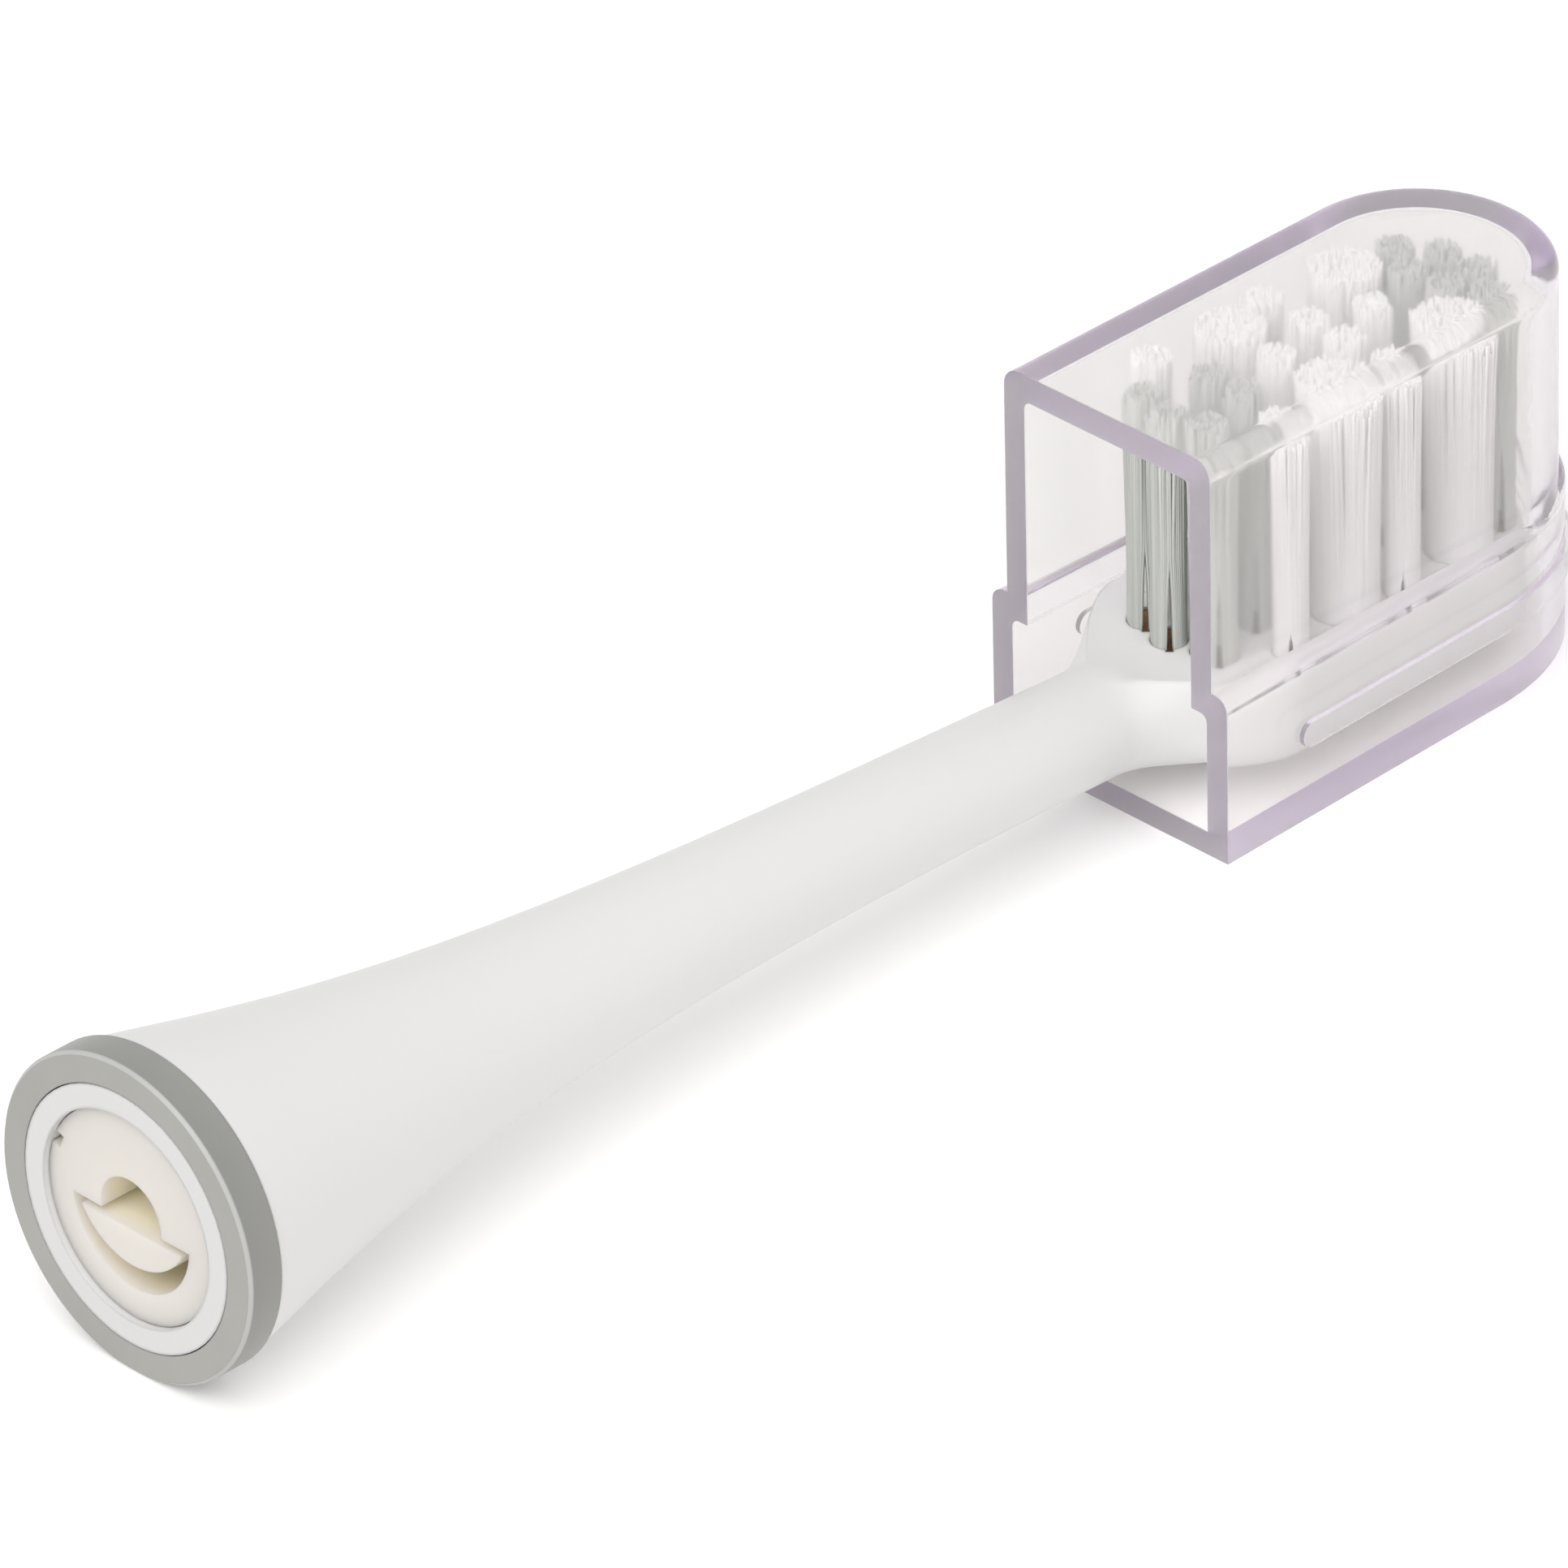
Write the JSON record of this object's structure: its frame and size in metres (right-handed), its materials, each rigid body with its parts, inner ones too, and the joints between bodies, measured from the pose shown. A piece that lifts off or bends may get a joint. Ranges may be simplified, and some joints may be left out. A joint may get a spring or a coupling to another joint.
{
  "type": "electric toothbrush head",
  "caption": "Electric toothbrush head with a flared white body, base ring, keyed drive socket, bristle tufts and a clear slide-off travel cap.",
  "frame": {"origin": "on the drive socket's axis, in the plane of the base's end face", "axes": "+X from the base along the brush to its tip, +Z towards the bristle side, so the brush lies bristles up"},
  "size_m": [0.0841, 0.015, 0.0212],
  "materials": {
    "white_plastic": "satin white moulded plastic",
    "ring_plastic": "satin grey moulded plastic",
    "insert_plastic": "natural cream moulded plastic",
    "cap_plastic": "clear moulded plastic with a faint lilac tint at the edges",
    "grey_bristle": "grey nylon filaments",
    "white_bristle": "white nylon filaments",
    "anchor_brass": "dull brass strip"
  },
  "bodies": {
    "brush": {"anchor_01": "anchor_brass", "anchor_02": "anchor_brass", "anchor_03": "anchor_brass", "anchor_04": "anchor_brass", "anchor_05": "anchor_brass", "anchor_06": "anchor_brass", "anchor_07": "anchor_brass", "anchor_08": "anchor_brass", "anchor_09": "anchor_brass", "anchor_10": "anchor_brass", "anchor_11": "anchor_brass", "anchor_12": "anchor_brass", "anchor_13": "anchor_brass", "anchor_14": "anchor_brass", "anchor_15": "anchor_brass", "anchor_16": "anchor_brass", "anchor_17": "anchor_brass", "anchor_18": "anchor_brass", "anchor_19": "anchor_brass", "anchor_20": "anchor_brass", "anchor_21": "anchor_brass", "anchor_22": "anchor_brass", "anchor_23": "anchor_brass", "base_ring": "ring_plastic", "brush_body": "white_plastic", "drive_insert": "insert_plastic", "grey_tuft_01": "grey_bristle", "grey_tuft_02": "grey_bristle", "grey_tuft_03": "grey_bristle", "grey_tuft_04": "grey_bristle", "grey_tuft_05": "grey_bristle", "grey_tuft_06": "grey_bristle", "grey_tuft_07": "grey_bristle", "grey_tuft_08": "grey_bristle", "grey_tuft_09": "grey_bristle", "grey_tuft_10": "grey_bristle", "grey_tuft_11": "grey_bristle", "white_tuft_01": "white_bristle", "white_tuft_02": "white_bristle", "white_tuft_03": "white_bristle", "white_tuft_04": "white_bristle", "white_tuft_05": "white_bristle", "white_tuft_06": "white_bristle", "white_tuft_07": "white_bristle", "white_tuft_08": "white_bristle", "white_tuft_09": "white_bristle", "white_tuft_10": "white_bristle", "white_tuft_11": "white_bristle", "white_tuft_12": "white_bristle"},
    "cap": {"cap": "cap_plastic"}
  },
  "joints": [
    {"name": "cap_slide", "type": "slide", "parent": "brush", "child": "cap", "axis": [1, 0, 0], "range_m": [0, 0.026]}
  ]
}
